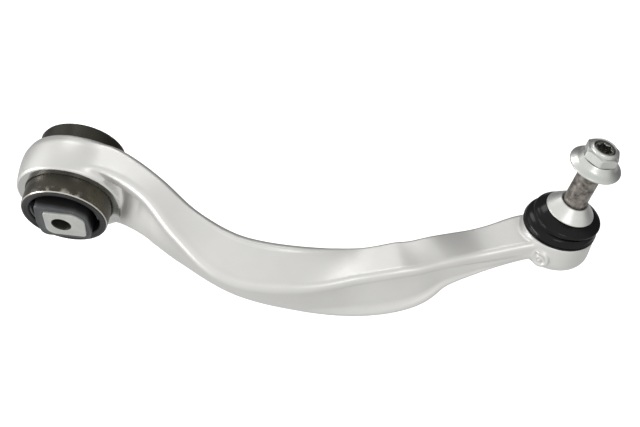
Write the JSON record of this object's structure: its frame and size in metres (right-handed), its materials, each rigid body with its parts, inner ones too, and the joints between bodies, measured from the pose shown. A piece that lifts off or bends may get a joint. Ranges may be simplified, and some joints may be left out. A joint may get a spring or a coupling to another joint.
{
  "type": "control arm",
  "caption": "Curved forged suspension control arm with a hydraulic bush at one end and a ball joint with a flange lock nut at the other.",
  "frame": {"origin": "centre of the bush, halfway along its bolt bore", "axes": "+Y along the bush bolt, +X from the bush centre to the ball centre, +Z the normal of the arm's broad face at the bush end"},
  "size_m": [0.4032, 0.1082, 0.1113],
  "materials": {
    "forged_aluminium": "satin, blasted forging",
    "core_aluminium": "sawn and lightly brushed",
    "sleeve_steel": "brown phosphated steel, oiled",
    "cage_steel": "plain pressed steel",
    "cap_steel": "zinc plated",
    "stud_steel": "dark oiled steel",
    "cone_steel": "bright zinc-nickel plating",
    "nut_steel": "silver zinc-flake coating",
    "spring_wire": "drawn spring wire",
    "bush_rubber": "matt moulded rubber",
    "ring_rubber": "matt grey-black moulded ring",
    "boot_rubber": "glossy black moulded rubber",
    "stop_plastic": "glass-filled nylon",
    "channel_plastic": "natural glass-filled nylon",
    "seat_plastic": "natural acetal",
    "insert_nylon": "natural nylon"
  },
  "bodies": {
    "mount_core": {"bush_core": "core_aluminium", "core_cover": "bush_rubber", "travel_stop": "stop_plastic"},
    "arm": {"bush_sleeve": "sleeve_steel", "end_ring_front": "ring_rubber", "end_ring_rear": "ring_rubber", "bump_pads_front": "bush_rubber", "bump_pads_rear": "bush_rubber", "window_cage": "cage_steel", "fluid_channel_upper": "channel_plastic", "fluid_channel_lower": "channel_plastic", "rubber_spring": "bush_rubber", "arm_eye": "forged_aluminium", "arm_bar": "forged_aluminium", "ball_housing": "forged_aluminium", "ball_seat": "seat_plastic", "housing_end_cap": "cap_steel", "boot_base": "boot_rubber", "boot_clamp_ring": "spring_wire"},
    "boot_mid": {"boot_lower": "boot_rubber"},
    "boot_top": {"boot_upper": "boot_rubber", "boot_lip_spring": "spring_wire"},
    "stud": {"ball_stud": "stud_steel", "cone_ring": "cone_steel"},
    "washer": {"nut_washer": "nut_steel"},
    "nut": {"lock_nut": "nut_steel", "nut_lock_insert": "insert_nylon"}
  },
  "joints": [
    {"name": "bush_twist", "type": "hinge", "parent": "mount_core", "child": "arm", "pos_m": [0, 0, 0], "axis": [0, 1, 0], "range_deg": [-15, 15], "stiffness_Nm_per_rad": 115, "deforming": ["rubber_spring"]},
    {"name": "ball_tilt", "type": "hinge", "parent": "arm", "child": "boot_mid", "pos_m": [0.3284, 0, 0], "axis": [0.1013, 0.9335, -0.344], "range_deg": [-24.5, 11.5], "deforming": ["boot_lower"]},
    {"name": "ball_swing", "type": "hinge", "parent": "boot_mid", "child": "boot_top", "pos_m": [0.3284, 0, 0], "axis": [-0.9409, 0.2023, 0.2717], "range_deg": [-18, 18], "deforming": ["boot_upper"]},
    {"name": "stud_spin", "type": "hinge", "parent": "boot_top", "child": "stud", "pos_m": [0.3284, 0, 0], "axis": [0.3232, 0.2962, 0.8988], "continuous": true},
    {"name": "nut_travel", "type": "slide", "parent": "stud", "child": "washer", "axis": [0.3232, 0.2962, 0.8988], "range_m": [0, 0.0135]},
    {"name": "nut_spin", "type": "hinge", "parent": "washer", "child": "nut", "pos_m": [0.3284, 0, 0], "axis": [0.3232, 0.2962, 0.8988], "range_deg": [0, 3241]}
  ],
  "couplings": [
    {"joint": "nut_spin", "follows": "nut_travel", "rad_per_m": 4188.8}
  ]
}
